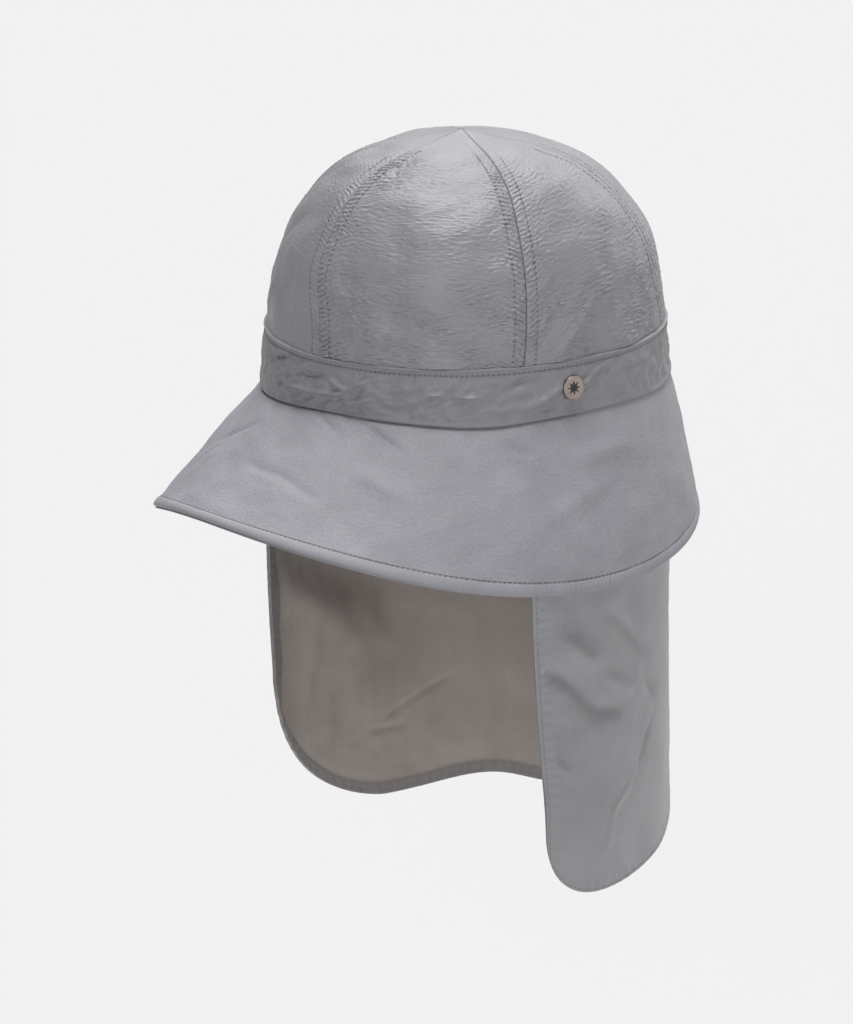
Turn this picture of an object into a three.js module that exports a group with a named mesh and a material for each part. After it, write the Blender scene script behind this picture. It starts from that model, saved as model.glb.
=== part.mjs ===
// A soft nylon sun bonnet in millimetres: a crown of six panels, a stitched band, a wide drooping
// brim with a bound edge, a long neck flap that hangs from inside the band, and a small metal badge.
// The hat is level, as it is worn. +X is the wearer's left, the front faces -Y and +Z is up. The
// origin is the middle of the head opening, in the plane of the band's lower edge.
// Angles run round the head in degrees: 0 at the front, 90 at the wearer's left, 180 at the back.
import * as THREE from "three";

// Head opening, measured to the outside of the band at its lower edge
const headHalfWidth = 91;
const headHalfLength = 97.5;
const gap = 0.3;

// Crown: a meridian from the band up to the point where the six seams meet
const crownWall = 1.2;
const crownForward = 2.8;
const crownMeridian = [
  { height: 25.7, share: 0.969 },
  { height: 45, share: 0.941 },
  { height: 65, share: 0.884 },
  { height: 80, share: 0.787 },
  { height: 92, share: 0.674 },
  { height: 101, share: 0.53 },
  { height: 107.5, share: 0.343 },
  { height: 111.5, share: 0.128 },
  { height: 114, share: 0 },
];
const crownTipRadius = 0.6;
const seamDip = 0.9;
const seamDipReach = 5;
const seamFade = 4;
const seamLean = 20;
const panelColumns = 12;
const panelRows = 14;
const columnCrowding = 0.4;
const rowCrowding = 0.92;
const crownPanels = [
  { name: "crown_front_left", from: -1.2, to: 61.8 },
  { name: "crown_side_left", from: 61.8, to: 123.6 },
  { name: "crown_back_left", from: 123.6, to: 181 },
  { name: "crown_back_right", from: 181, to: 240 },
  { name: "crown_side_right", from: 240, to: 299 },
  { name: "crown_front_right", from: 299, to: 358.8 },
];

// Band: a double ring of the same cloth that leans in a little towards the crown
const bandHeight = 25.4;
const bandWall = 1.8;
const bandTopShare = 0.975;
const bandFullness = 0.5;
const bandColumns = 60;
const bandRows = 3;
// Its lower edge isn't quite level: how far it lies above the plane of the head opening
const bandHem = [
  { angle: -90, height: -2.5 },
  { angle: -60, height: -4 },
  { angle: -40, height: -3.7 },
  { angle: -23, height: -1.7 },
  { angle: -11, height: 0 },
  { angle: 2, height: 1.5 },
  { angle: 26, height: 0.7 },
  { angle: 52, height: -0.9 },
  { angle: 64, height: 0.4 },
  { angle: 86, height: 1.2 },
  { angle: 115, height: -0.6 },
  { angle: 140, height: 0 },
  { angle: 270, height: -2.5 },
];

// Brim: it starts under the band, inset so that the band overhangs it, and droops to its edge
const brimWall = 2;
const brimInset = 0.8;
const brimHalfWidth = 117.2;
const brimHalfLength = 133.5;
const brimForward = 25.9;
const brimEdgeHeight = -61.05;
const brimDroop = [
  { turns: 1, height: 8.48 },
  { turns: 2, height: 10.25 },
  { turns: 3, height: 1.92 },
];
const brimFullness = 2.2;
const brimTip = { angle: -48, up: 2, out: 1.6, reach: 28 };
const brimColumns = 64;
const brimRows = 7;

// Binding: a folded strip of cloth that wraps the brim's edge
const bindingWidth = 6.4;
const bindingThickness = 3.2;
const bindingSides = 8;
const bindingEndPower = 0.7;
const bindingSidePower = 0.6;
const bindingInnerShare = 0.92;

// Neck flap: where it hangs, seen in section, as its outer face's distance inside the head ellipse
const flapWall = 1;
const flapHang = [
  { height: -240, inset: -2.8 },
  { height: -130, inset: -1.1 },
  { height: -60, inset: 0.3 },
  { height: -30, inset: 1.6 },
  { height: -10, inset: 3 },
  { height: 0, inset: 3.3 },
  { height: 8, inset: 2.8 },
];
const flapTopRows = [-14, -1, 8];

// Its cut: the front edges lean back on their way down to a rounded corner on either side
const flapEdgeStart = -60;
const flapCut = {
  left: { edge: 62.6, edgeAtCorner: 66.4, span: 22.7, height: 45.7, power: 3.2 },
  right: { edge: 54.3, edgeAtCorner: 62.9, span: 48.9, height: 86.1, power: 1.63 },
};
const flapBottom = [
  { angle: 66, height: -227.7 },
  { angle: 90, height: -227.7 },
  { angle: 131, height: -218.5 },
  { angle: 170, height: -222 },
  { angle: 203, height: -232.5 },
  { angle: 215, height: -230.7 },
  { angle: 248, height: -237.1 },
  { angle: 298, height: -237.1 },
];

// Its long soft folds: how far each stands out at the hem, and how far round it reaches
const flapFolds = [
  { angle: 78, out: 1.2, reach: 16 },
  { angle: 108, out: -2, reach: 18 },
  { angle: 132, out: -2.6, reach: 15 },
  { angle: 152, out: 3, reach: 20 },
  { angle: 184, out: -2.5, reach: 18 },
  { angle: 213, out: 2.5, reach: 14 },
  { angle: 236, out: -2.5, reach: 16 },
  { angle: 262, out: 1.5, reach: 18 },
];
const hemWidth = 6.5;
const hemThickness = 0.8;
const hemStep = 1;
const flapColumns = 46;
const flapRows = 13;
const crowding = 0.75;
const edgeFade = 60;

// Badge: a round metal disc with a raised rim and a dark enamel star, riveted to the band
const badgeAngle = 74.6;
const badgeHeight = 13;
const badgeRadius = 5.5;
const badgeThickness = 1.7;
const badgeRim = 0.6;
const badgeBevel = 0.3;
const badgeFloor = 1.1;
const badgeSides = 32;
const starPoints = 8;
const starRadius = 3.3;
const starValley = 1.5;
const starThickness = 0.3;

const cloth = new THREE.MeshStandardMaterial({ name: "grey nylon", color: "#8f8f96", roughness: 0.72 });
const flapCloth = new THREE.MeshStandardMaterial({
  name: "thin grey nylon", color: "#8b8b8f", roughness: 0.75,
});
const metal = new THREE.MeshStandardMaterial({
  name: "pale nickel", color: "#c9bdb9", roughness: 0.25, metalness: 1,
});
const enamel = new THREE.MeshStandardMaterial({ name: "black enamel", color: "#1d1b1c", roughness: 0.2 });

const radians = THREE.MathUtils.degToRad;

// A point on an ellipse round the head
function ellipsePoint(angle, halfWidth, halfLength, height) {
  const turn = radians(angle);
  return new THREE.Vector3(halfWidth * Math.sin(turn), -halfLength * Math.cos(turn), height);
}

// The level direction that leads straight out of the head ellipse
function outward(angle) {
  const turn = radians(angle);
  return new THREE.Vector3(Math.sin(turn) / headHalfWidth, -Math.cos(turn) / headHalfLength, 0).normalize();
}

// Reads a column of a table between its rows, on a smooth curve that passes through each row
function readTable(rows, place, column, at) {
  const next = rows.findIndex((row) => row[place] >= at);
  const right = next < 0 ? rows.length - 1 : Math.max(1, next);
  const left = right - 1;
  const slope = (a, b) => (rows[b][column] - rows[a][column]) / (rows[b][place] - rows[a][place]);
  const span = rows[right][place] - rows[left][place];
  const leftSlope = left > 0 ? slope(left - 1, right) : slope(left, right);
  const rightSlope = right < rows.length - 1 ? slope(left, right + 1) : slope(left, right);
  const t = THREE.MathUtils.clamp((at - rows[left][place]) / span, 0, 1);
  const rise = t * t * (3 - 2 * t);
  const start = t * (1 - t) * (1 - t) * span * leftSlope;
  const end = t * t * (t - 1) * span * rightSlope;
  return rows[left][column] * (1 - rise) + rows[right][column] * rise + start + end;
}

// The direction straight out of a surface, from two short steps along it
function facing(surface, u, v, step) {
  const here = surface(u, v);
  const along = surface(u + step, v).sub(here);
  const up = surface(u, v + step).sub(here);
  return along.cross(up).normalize();
}

// A geometry from a list of points and a list of four-cornered faces
function fromFaces(points, quads) {
  const geometry = new THREE.BufferGeometry();
  const triangles = quads.flatMap(([a, b, c, d]) => [a, b, c, a, c, d]);
  geometry.setAttribute("position", new THREE.Float32BufferAttribute(points.flatMap((p) => p.toArray()), 3));
  geometry.setIndex(triangles);
  geometry.computeVertexNormals();
  return geometry;
}

// A wall with an outer and an inner face, both worked out on one grid. Columns run round the head and
// rows run upwards. The free edges are closed by strips, and a ring joins its last column to its first.
function wall(columns, rows, ring, outside, inside) {
  const acrossCount = ring ? columns : columns + 1;
  const points = [];
  [outside, inside].forEach((face) => {
    for (let j = 0; j <= rows; j += 1) {
      for (let i = 0; i < acrossCount; i += 1) points.push(face(i, j));
    }
  });
  const layer = acrossCount * (rows + 1);
  const outer = (i, j) => j * acrossCount + (i % acrossCount);
  const inner = (i, j) => layer + outer(i, j);
  const quads = [];
  for (let i = 0; i < columns; i += 1) {
    for (let j = 0; j < rows; j += 1) {
      quads.push([outer(i, j), outer(i + 1, j), outer(i + 1, j + 1), outer(i, j + 1)]);
      quads.push([inner(i, j), inner(i, j + 1), inner(i + 1, j + 1), inner(i + 1, j)]);
    }
    quads.push([outer(i + 1, 0), outer(i, 0), inner(i, 0), inner(i + 1, 0)]);
    quads.push([outer(i, rows), outer(i + 1, rows), inner(i + 1, rows), inner(i, rows)]);
  }
  for (let j = 0; j < rows && !ring; j += 1) {
    quads.push([outer(0, j), outer(0, j + 1), inner(0, j + 1), inner(0, j)]);
    quads.push([outer(columns, j + 1), outer(columns, j), inner(columns, j), inner(columns, j + 1)]);
  }
  return fromFaces(points, quads);
}

// A named sub-part of the hat
function piece(name, geometry, material) {
  const mesh = new THREE.Mesh(geometry, material);
  mesh.name = name;
  return mesh;
}

// Crown surface: angle round the head, and share of the way up the meridian from band to tip
const meridian = new THREE.CatmullRomCurve3(
  crownMeridian.map((row) => new THREE.Vector3(row.share * headHalfWidth, 0, row.height)),
  false,
  "centripetal",
);

function crownSurface(angle, rise) {
  const spot = meridian.getPointAt(THREE.MathUtils.clamp(rise, 0, 1));
  const share = spot.x / headHalfWidth;
  const point = ellipsePoint(angle, headHalfWidth * share, headHalfLength * share, spot.z);
  const lift = (spot.z - bandHeight) / (crownMeridian.at(-1).height - bandHeight);
  point.y -= crownForward * lift;
  return point;
}

// One crown panel between two seams. The cloth dips into each seam, and a narrow gap parts the panels.
// Near the tip a panel keeps at least a tenth of its width.
function crownPanel(from, to) {
  const tipRise = 1 - crownTipRadius / meridian.getLength();
  const spot = (i, j) => {
    const rise = tipRise * (j / panelRows) ** rowCrowding;
    const share = Math.max(meridian.getPointAt(rise).x, crownTipRadius) / headHalfWidth;
    const girth = radians(1) * share * headHalfLength;
    const margin = gap / 2 / girth / Math.cos(radians(seamLean));
    const room = Math.max(to - from - 2 * margin, (to - from) / 10);
    const eased = (1 - Math.cos((Math.PI * i) / panelColumns)) / 2;
    const across = columnCrowding * eased + (1 - columnCrowding) * (i / panelColumns);
    const angle = (from + to) / 2 + room * (across - 0.5);
    const toSeam = Math.min(angle - from, to - angle) * girth;
    const dip = seamDip * Math.exp(-((toSeam / seamDipReach) ** 2)) * Math.min(1, share * seamFade);
    return { angle, rise, dip };
  };
  const face = (i, j, depth) => {
    const { angle, rise, dip } = spot(i, j);
    const normal = facing(crownSurface, angle, Math.min(rise, tipRise), 0.002);
    return crownSurface(angle, rise).addScaledVector(normal, -dip - depth);
  };
  return wall(panelColumns, panelRows, false, (i, j) => face(i, j, 0), (i, j) => face(i, j, crownWall));
}

// The height of the band's lower edge
function hemHeight(angle) {
  const turned = THREE.MathUtils.euclideanModulo(angle - bandHem[0].angle, 360) + bandHem[0].angle;
  return readTable(bandHem, "angle", "height", turned);
}

// The band's outer face, slightly full between its two sewn edges. Heights are spread from its uneven
// lower edge to its level top.
function bandSurface(angle, height) {
  const rise = height / bandHeight;
  const share = 1 + (bandTopShare - 1) * rise;
  const level = height + hemHeight(angle) * (1 - rise);
  const point = ellipsePoint(angle, headHalfWidth * share, headHalfLength * share, level);
  return point.addScaledVector(outward(angle), bandFullness * Math.sin(Math.PI * rise));
}

function band() {
  const face = (i, j, depth) => {
    const angle = (360 * i) / bandColumns;
    return bandSurface(angle, (bandHeight * j) / bandRows).addScaledVector(outward(angle), -depth);
  };
  return wall(bandColumns, bandRows, true, (i, j) => face(i, j, 0), (i, j) => face(i, j, bandWall));
}

// The brim's bound edge and the line under the band that it hangs from. The edge stands up and out a
// little at the wearer's front right.
function brimEdge(angle) {
  const droop = brimDroop.reduce((sum, wave) => sum + wave.height * Math.cos(radians(angle * wave.turns)), 0);
  const turned = THREE.MathUtils.euclideanModulo(angle - brimTip.angle + 180, 360) - 180;
  const tip = Math.exp(-((turned / brimTip.reach) ** 2));
  const point = ellipsePoint(angle, brimHalfWidth, brimHalfLength, brimEdgeHeight + droop + brimTip.up * tip);
  point.y -= brimForward;
  return point.addScaledVector(outward(angle), brimTip.out * tip);
}

function brimRoot(angle) {
  const point = ellipsePoint(angle, headHalfWidth, headHalfLength, hemHeight(angle) - gap);
  return point.addScaledVector(outward(angle), -brimInset);
}

// The brim's upper face: a straight run from root to edge that swells a little at the sides
function brimSurface(angle, rise) {
  const root = brimRoot(angle);
  const edge = brimEdge(angle);
  const point = edge.clone().lerp(root, rise);
  const away = edge.sub(root).normalize();
  const lift = outward(angle).multiplyScalar(-away.z).add(new THREE.Vector3(0, 0, outward(angle).dot(away)));
  const fullness = brimFullness * Math.sin(radians(angle)) ** 2;
  return point.addScaledVector(lift, fullness * Math.sin(Math.PI * rise));
}

// At its root the wall is cut level under the band, and everywhere else across the cloth
function brim() {
  const place = (i, j) => {
    const angle = (360 * i) / brimColumns;
    const start = (bindingWidth + gap) / brimEdge(angle).distanceTo(brimRoot(angle));
    return { angle, rise: start + (1 - start) * (j / brimRows) };
  };
  const outside = (i, j) => brimSurface(place(i, j).angle, place(i, j).rise);
  const inside = (i, j) => {
    const { angle, rise } = place(i, j);
    const point = outside(i, j);
    if (j === brimRows) return point.addScaledVector(outward(angle), -brimWall);
    return point.addScaledVector(facing(brimSurface, angle, rise, 0.001), -brimWall);
  };
  return wall(brimColumns, brimRows, true, outside, inside);
}

// The binding is a rounded bead along the edge, flat where it meets the brim's cloth
function binding() {
  const points = [];
  const quads = [];
  for (let i = 0; i < brimColumns; i += 1) {
    const angle = (360 * i) / brimColumns;
    const normal = facing(brimSurface, angle, 0, 0.001);
    const inwards = brimSurface(angle, 0.05).sub(brimSurface(angle, 0)).normalize();
    const centre = brimEdge(angle).addScaledVector(normal, -brimWall / 2);
    for (let k = 0; k < bindingSides; k += 1) {
      const turn = (2 * Math.PI * (k + 0.5)) / bindingSides;
      const across = Math.sign(Math.cos(turn)) * Math.abs(Math.cos(turn)) ** bindingEndPower;
      const high = Math.sign(Math.sin(turn)) * Math.abs(Math.sin(turn)) ** bindingSidePower;
      const along = (bindingWidth / 2) * (1 + across);
      const aside = (bindingThickness / 2) * high * (across > 0 ? bindingInnerShare : 1);
      points.push(centre.clone().addScaledVector(inwards, along).addScaledVector(normal, aside));
      const nextColumn = ((i + 1) % brimColumns) * bindingSides;
      const nextSide = (k + 1) % bindingSides;
      const column = i * bindingSides;
      quads.push([column + k, column + nextSide, nextColumn + nextSide, nextColumn + k]);
    }
  }
  return fromFaces(points, quads);
}

// How far round the head the flap's front edge lies at a height, on the wearer's left or right
function flapEdge(cut, height) {
  const bottom = cut === flapCut.left ? flapBottom[0].height : flapBottom.at(-1).height;
  const cornerTop = bottom + cut.height;
  const lean = THREE.MathUtils.clamp((height - flapEdgeStart) / (cornerTop - flapEdgeStart), 0, 1);
  return cut.edge + (cut.edgeAtCorner - cut.edge) * lean;
}

// The hem's height at an angle: level across the back, and rounded up at both front corners
function flapHem(angle) {
  const level = readTable(flapBottom, "angle", "height", angle);
  const corner = (cut, fromEdge) => {
    const across = THREE.MathUtils.clamp(1 - fromEdge / cut.span, 0, 1);
    return cut.height * (1 - (1 - across ** cut.power) ** (1 / cut.power));
  };
  const left = corner(flapCut.left, angle - flapCut.left.edgeAtCorner);
  const right = corner(flapCut.right, 360 - angle - flapCut.right.edgeAtCorner);
  return level + left + right;
}

// A point of the flap's outer face, with its long folds growing towards the hem
function flapSurface(angle, height) {
  const reach = THREE.MathUtils.smoothstep(-height, 40, 230);
  const fold = flapFolds.reduce((sum, row) => {
    return sum + row.out * Math.exp(-(((angle - row.angle) / row.reach) ** 2));
  }, 0);
  const inset = readTable(flapHang, "height", "inset", height);
  const point = ellipsePoint(angle, headHalfWidth, headHalfLength, height);
  return point.addScaledVector(outward(angle), fold * reach - inset);
}

// The flap's grid: its outermost columns and lowest rows are the turned hem, which is thicker inside.
// Its columns crowd towards the front edges, where the rounded corners need them.
function flap() {
  const flapMiddle = (flapCut.left.edgeAtCorner + 360 - flapCut.right.edgeAtCorner) / 2;
  const girth = radians(1) * headHalfWidth;
  const hemAngle = hemWidth / girth;
  const stepAngle = hemStep / girth;
  const column = (i) => {
    const from = flapCut.left.edgeAtCorner;
    const to = 360 - flapCut.right.edgeAtCorner;
    const inner = (k) => {
      const even = (k - 2) / (flapColumns - 4);
      const eased = (1 - Math.cos(Math.PI * even)) / 2;
      const start = from + hemAngle + stepAngle;
      const end = to - hemAngle - stepAngle;
      return start + (end - start) * (crowding * eased + (1 - crowding) * even);
    };
    if (i === 0) return from;
    if (i === 1) return from + hemAngle;
    if (i === flapColumns - 1) return to - hemAngle;
    if (i === flapColumns) return to;
    return inner(i);
  };
  const place = (i, j) => {
    const straight = column(i);
    const hem = flapHem(straight);
    const hemRows = [hem, hem + hemWidth, hem + hemWidth + hemStep];
    const topRow = j - (flapRows + 1 - flapTopRows.length);
    const rest = (j - 2) / (flapRows - 1 - flapTopRows.length);
    const between = hemRows[2] + (flapTopRows[0] - hemRows[2]) * rest;
    const height = hemRows[j] ?? flapTopRows[topRow] ?? between;
    const cut = straight < flapMiddle ? flapCut.left : flapCut.right;
    const shift = cut.edgeAtCorner - flapEdge(cut, height);
    const sideEdge = straight < flapMiddle ? column(0) : column(flapColumns);
    const fade = Math.max(0, 1 - Math.abs(straight - sideEdge) / edgeFade);
    const angle = straight + (straight < flapMiddle ? -shift : shift) * fade;
    return { angle, height };
  };
  const isHem = (i, j) => j < 2 || i < 2 || i > flapColumns - 2;
  const face = (i, j, depth) => {
    const { angle, height } = place(i, j);
    return flapSurface(angle, height).addScaledVector(outward(angle), -depth);
  };
  const depth = (i, j) => flapWall + (isHem(i, j) && j < flapRows - 1 ? hemThickness : 0);
  return wall(flapColumns, flapRows, false, (i, j) => face(i, j, 0), (i, j) => face(i, j, depth(i, j)));
}

// The badge's disc: a flat back, a rounded raised rim and a sunken face
function badgeDisc() {
  const faceRadius = badgeRadius - badgeRim;
  const profile = [
    [0, 0],
    [badgeRadius - badgeBevel, 0],
    [badgeRadius, badgeBevel],
    [badgeRadius, badgeThickness - badgeBevel],
    [badgeRadius - badgeBevel, badgeThickness],
    [faceRadius + badgeBevel / 3, badgeThickness],
    [faceRadius, badgeFloor],
    [0, badgeFloor],
  ].map(([radius, height]) => new THREE.Vector2(radius, height));
  return new THREE.LatheGeometry(profile, badgeSides);
}

// The enamel star that lies on the badge's sunken face
function badgeStar() {
  const outline = Array.from({ length: 2 * starPoints }, (_, k) => {
    const turn = (Math.PI * k) / starPoints;
    const radius = k % 2 === 0 ? starRadius : starValley;
    return new THREE.Vector2(radius * Math.sin(turn), radius * Math.cos(turn));
  });
  const shape = new THREE.Shape(outline);
  const star = new THREE.ExtrudeGeometry(shape, { depth: starThickness, bevelEnabled: false });
  star.rotateX(-Math.PI / 2);
  star.translate(0, badgeFloor + gap, 0);
  return star;
}

// The badge stands on the band's face, turned to look straight out of it
function badge() {
  const normal = facing(bandSurface, badgeAngle, badgeHeight, 0.01);
  const group = new THREE.Group();
  group.add(piece("badge", badgeDisc(), metal));
  group.add(piece("badge_star", badgeStar(), enamel));
  group.position.copy(bandSurface(badgeAngle, badgeHeight).addScaledVector(normal, gap));
  group.quaternion.setFromUnitVectors(new THREE.Vector3(0, 1, 0), normal);
  return group;
}

const bonnet = new THREE.Group();
crownPanels.forEach(({ name, from, to }) => bonnet.add(piece(name, crownPanel(from, to), cloth)));
bonnet.add(piece("band", band(), cloth));
bonnet.add(piece("brim", brim(), cloth));
bonnet.add(piece("brim_binding", binding(), cloth));
bonnet.add(piece("neck_flap", flap(), flapCloth));
bonnet.add(badge());

export default bonnet;
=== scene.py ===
"""The looks of a grey nylon sun bonnet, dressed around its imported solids.

The hat is level, with its front at -Y and the wearer's left at +X. Angles run round the head in
degrees: 0 at the front, 90 at the wearer's left, 180 at the back. Sizes are in millimetres, and
the mesh functions turn them to metres.
"""
import math

import bpy
import numpy as np
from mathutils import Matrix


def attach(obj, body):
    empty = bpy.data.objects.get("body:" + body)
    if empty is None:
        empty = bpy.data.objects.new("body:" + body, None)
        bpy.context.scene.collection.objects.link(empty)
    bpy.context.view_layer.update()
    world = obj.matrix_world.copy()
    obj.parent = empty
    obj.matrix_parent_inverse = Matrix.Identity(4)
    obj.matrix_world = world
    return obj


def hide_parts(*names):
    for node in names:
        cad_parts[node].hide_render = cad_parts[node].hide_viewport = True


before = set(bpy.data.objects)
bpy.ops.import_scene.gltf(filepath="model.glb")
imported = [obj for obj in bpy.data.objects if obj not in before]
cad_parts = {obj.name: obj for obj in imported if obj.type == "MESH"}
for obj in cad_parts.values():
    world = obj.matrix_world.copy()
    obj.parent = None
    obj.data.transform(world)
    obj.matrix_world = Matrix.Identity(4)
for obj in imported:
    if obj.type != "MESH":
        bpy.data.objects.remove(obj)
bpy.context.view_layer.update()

# Crown: six panels of thin nylon with a crinkled weave, sewn edge to edge and top-stitched on both
# sides of every seam. The cloth ripples along its threads and puckers where the stitches pull it in.
head_half_width = 91.0
head_half_length = 97.5
seam_gap = 0.3
crown_wall = 1.0
crown_forward = 2.8
crown_tip_radius = 0.3
crown_meridian = {
    "height": (25.5, 45, 65, 80, 92, 101, 107.5, 111.5, 114),
    "share": (0.969, 0.941, 0.884, 0.787, 0.674, 0.53, 0.343, 0.128, 0),
}
# The lean is the angle of the cloth's ripples from level, as the wearer's bias-cut panels show it
crown_panels = {
    "piece": ("front_left", "side_left", "back_left", "back_right", "side_right", "front_right"),
    "start": (-1.2, 61.8, 123.6, 181, 240, 299),
    "end": (61.8, 123.6, 181, 240, 299, 358.8),
    "lean": (-7, 34, 12, -16, 22, -12),
    "length": (2.0, 1.9, 2.8, 3.0, 2.4, 3.0),
    "crinkle": (1.0, 1.0, 0.8, 0.9, 0.9, 0.5),
    "sway": (1.5, 1.5, 0.6, 0.7, 1.2, 1.6),
    "seed": (3, 14, 25, 36, 47, 58),
    "start_bow": ("front", "side", "straight", "straight", "straight", "straight"),
    "end_bow": ("side", "straight", "straight", "straight", "straight", "front"),
}
# The seams at the front and on the wearer's left bow apart: how far round each lies from its place, in
# degrees, by height
crown_bow = {
    "height": (25.5, 42, 60, 75, 90, 103, 114),
    "front": (0, -1, -4.6, -5.4, -6.4, -7, -7),
    "side": (-1, 0.3, 1.2, 1.8, 2.8, 4, 4),
    "straight": (0, 0, 0, 0, 0, 0, 0),
}
# How the cloth gathers beside the seam where each panel starts and the one where it ends: how hard,
# how far the gathers reach, how irregular they are, and how deep the panel's edge turns in
crown_seams = {
    "start": ((1.3, 13, 0.6, 0.15), (0.8, 6, 0.5, 0.45), (0.2, 5, 0.5, 0.3), *((0.75, 6, 0.5, 0.35),) * 3),
    "end": ((1.3, 7, 0.4, 0.45), (0.2, 5, 0.5, 0.3), *((0.75, 6, 0.5, 0.35),) * 3, (0.6, 5, 0.6, 0.15)),
}
# Soft folds of four panels: which panel, counted from 0 at the front left, how far each fold lies from
# the panel's first seam and up from the band, how it runs, and its length, width and depth
crown_folds = {
    "panel": (1, 1, 1, 1, 1, 1, 0, 0, 5, 5, 5, 2),
    "across": (11, 24.8, 31, 19, 27, 8, 30, 44, 40, 33, 20, 22),
    "up": (21, 13, 20, 7.5, 30, 34, 12, 40, 18, 42, 46, 50),
    "heading": (52, 56, 60, 50, 58, 40, 8, 20, 60, 72, 90, 90),
    "length": (9, 11, 10, 8, 9, 8, 12, 13, 13, 16, 34, 32),
    "width": (1.7, 1.9, 1.7, 1.6, 2.0, 1.5, 2.6, 3.2, 3.2, 4.0, 14, 12),
    "depth": (0.5, 0.55, 0.5, 0.4, 0.4, 0.35, 0.5, -0.6, 0.8, -0.9, -0.9, 1.7),
}
panel_rows = 361
panel_columns = 97
seam_lip = 0.4
tip_narrow = 8
tip_wide = 34
gather_narrow = 24
gather_wide = 58
stitch_row = 5.2
stitch_pitch = 2.4
row_width = 0.6
row_depth = 0.2
pucker_length = 2.4
pucker_depth = 0.3
pucker_slant = 0.5
pucker_beyond = 0.55
crinkle_depth = 0.2
crinkle_size = (0.86, 0.6)
grain_wander = 2.4
sway_size = (24, 11)
sway_margin = 14
lower_fullness = 2.0
slack_power = 1.5
column_crowding = 0.5
# Each panel's fine crinkle starts this far along the noise from its neighbour's, for each unit of seed
grain_shift = 200
crisp_fold = 60
millimetre = 0.001


def head_ellipse(angle, half_width, half_length, height):
    """Points at angles round an ellipse: X is half_width times sine, Y is minus half_length times cosine."""
    turn = np.radians(angle)
    x, y, z = np.broadcast_arrays(half_width * np.sin(turn), -half_length * np.cos(turn), height)
    return np.stack([x, y, z], axis=-1)


def unit(ways):
    """Directions brought to a length of 1: each is divided by the root of the sum of its squares."""
    return ways / np.linalg.norm(ways, axis=-1, keepdims=True)


def outward(angle):
    """The level direction straight out of the head ellipse at an angle."""
    turn = np.radians(angle)
    return unit(np.stack([np.sin(turn) / head_half_width, -np.cos(turn) / head_half_length, 0 * turn], -1))


def bell(distance, reach):
    """A bell curve that is 1 in its middle: e to the minus square of distance over reach."""
    return np.exp(-((distance / reach) ** 2))


def along_table(table, place, column, at):
    """Reads a column between its rows: a cubic whose slope at each row is that of its neighbours' chord."""
    xs = np.asarray(table[place], float)
    ys = np.asarray(table[column], float)
    slopes = np.gradient(ys, xs)
    left = np.clip(np.searchsorted(xs, at) - 1, 0, len(xs) - 2)
    span = xs[left + 1] - xs[left]
    t = np.clip((at - xs[left]) / span, 0, 1)
    rise = t * t * (3 - 2 * t)
    bend = span * (slopes[left] * t * (1 - t) ** 2 + slopes[left + 1] * t * t * (t - 1))
    return ys[left] * (1 - rise) + ys[left + 1] * rise + bend


def ripple(x, y, seed):
    """Smooth noise from about -1 to 1 on a plane: each whole-number corner has a random slope, and the
    four slopes round a point are blended with the ease 6t^5 - 15t^4 + 10t^3."""
    size, gain = 128, 1.6
    turns = np.random.default_rng(seed).uniform(0, 2 * np.pi, (size, size))
    column, row = np.floor(x).astype(int), np.floor(y).astype(int)
    fx, fy = x - column, y - row

    def corner(right, up):
        turn = turns[(column + right) % size, (row + up) % size]
        return np.cos(turn) * (fx - right) + np.sin(turn) * (fy - up)

    ease_x = fx**3 * (fx * (fx * 6 - 15) + 10)
    ease_y = fy**3 * (fy * (fy * 6 - 15) + 10)
    low = corner(0, 0) * (1 - ease_x) + corner(1, 0) * ease_x
    high = corner(0, 1) * (1 - ease_x) + corner(1, 1) * ease_x
    return gain * (low * (1 - ease_y) + high * ease_y)


def crowded(count, by):
    """Steps from 0 to 1, drawn towards both ends: even ones less "by" times a sine over its own period."""
    even = np.linspace(0, 1, count)
    return even - by * np.sin(2 * np.pi * even) / (2 * np.pi)


def facing(points, ring=False):
    """Unit directions out of a grid of points: the step along each row crossed with the step up."""
    if ring:
        across = np.roll(points, -1, axis=1) - np.roll(points, 1, axis=1)
    else:
        across = np.gradient(points, axis=1)
    return unit(np.cross(across, np.gradient(points, axis=0)))


def steps_along(points, axis):
    """The distance run along a grid's rows or columns, in millimetres, from its first line."""
    lengths = np.linalg.norm(np.diff(points, axis=axis), axis=-1)
    start = np.zeros_like(np.take(lengths, [0], axis=axis))
    return np.concatenate([start, np.cumsum(lengths, axis=axis)], axis=axis)


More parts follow.
